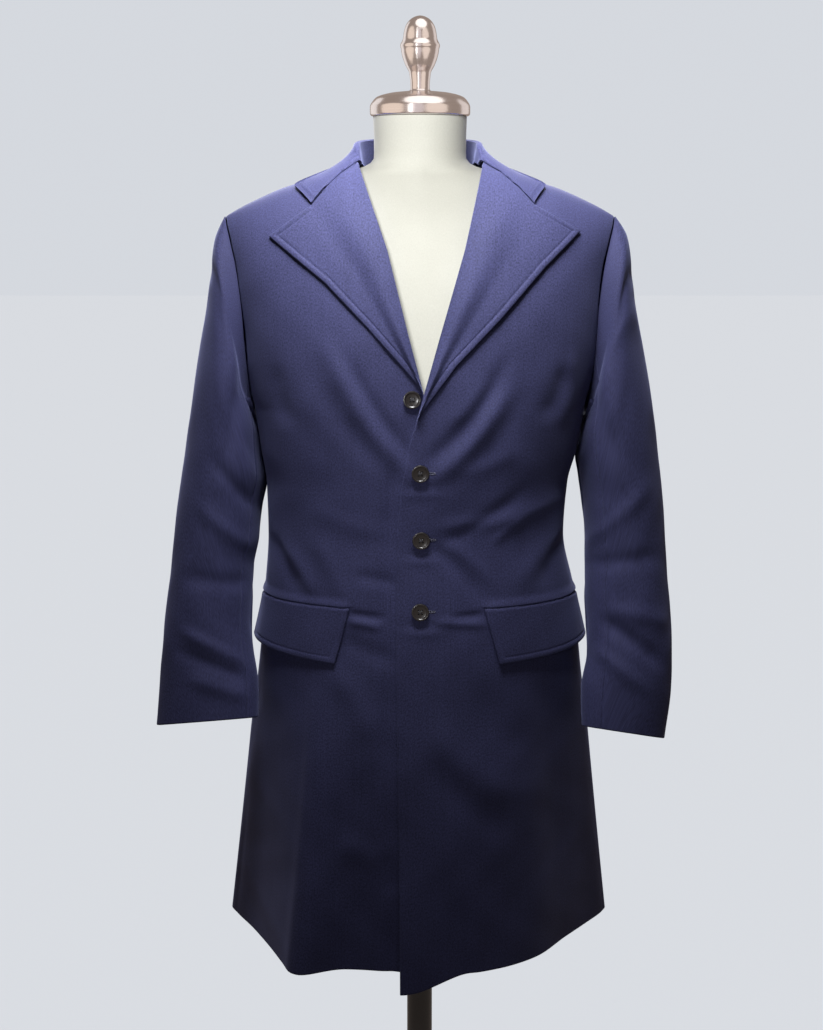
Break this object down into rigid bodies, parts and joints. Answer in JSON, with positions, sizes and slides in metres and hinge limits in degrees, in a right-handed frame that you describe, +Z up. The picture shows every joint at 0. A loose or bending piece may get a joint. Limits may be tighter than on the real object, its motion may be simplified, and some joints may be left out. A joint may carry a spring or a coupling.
{
  "type": "frock coat on a dress form",
  "caption": "Knee-length single-breasted frock coat with notched lapels, worn open at the top button on a limbless dress form with a round base.",
  "frame": {"origin": "centre of the round base's bottom face, on the floor", "axes": "+Z up, -Y out of the coat's front, +X to the wearer's left"},
  "size_m": [0.6375, 0.4001, 1.6842],
  "materials": {
    "coat_cloth": "navy wool twill with a soft sheen",
    "button_dark": "polished black-brown",
    "form_cover": "smooth off-white cover",
    "nickel": "brushed, warm nickel",
    "stand_black": "satin black"
  },
  "bodies": {
    "root": {"front_left": "coat_cloth", "front_right": "coat_cloth", "back_left": "coat_cloth", "back_right": "coat_cloth", "lapel_left": "coat_cloth", "lapel_right": "coat_cloth", "collar": "coat_cloth", "flap_left": "coat_cloth", "flap_right": "coat_cloth", "sleeve_upper_left": "coat_cloth", "sleeve_upper_right": "coat_cloth", "sleeve_under_left": "coat_cloth", "sleeve_under_right": "coat_cloth", "button_1": "button_dark", "button_2": "button_dark", "button_3": "button_dark", "button_4": "button_dark", "form_torso": "form_cover", "neck_cap": "nickel", "finial": "nickel", "pole": "stand_black", "base": "stand_black"}
  },
  "joints": []
}
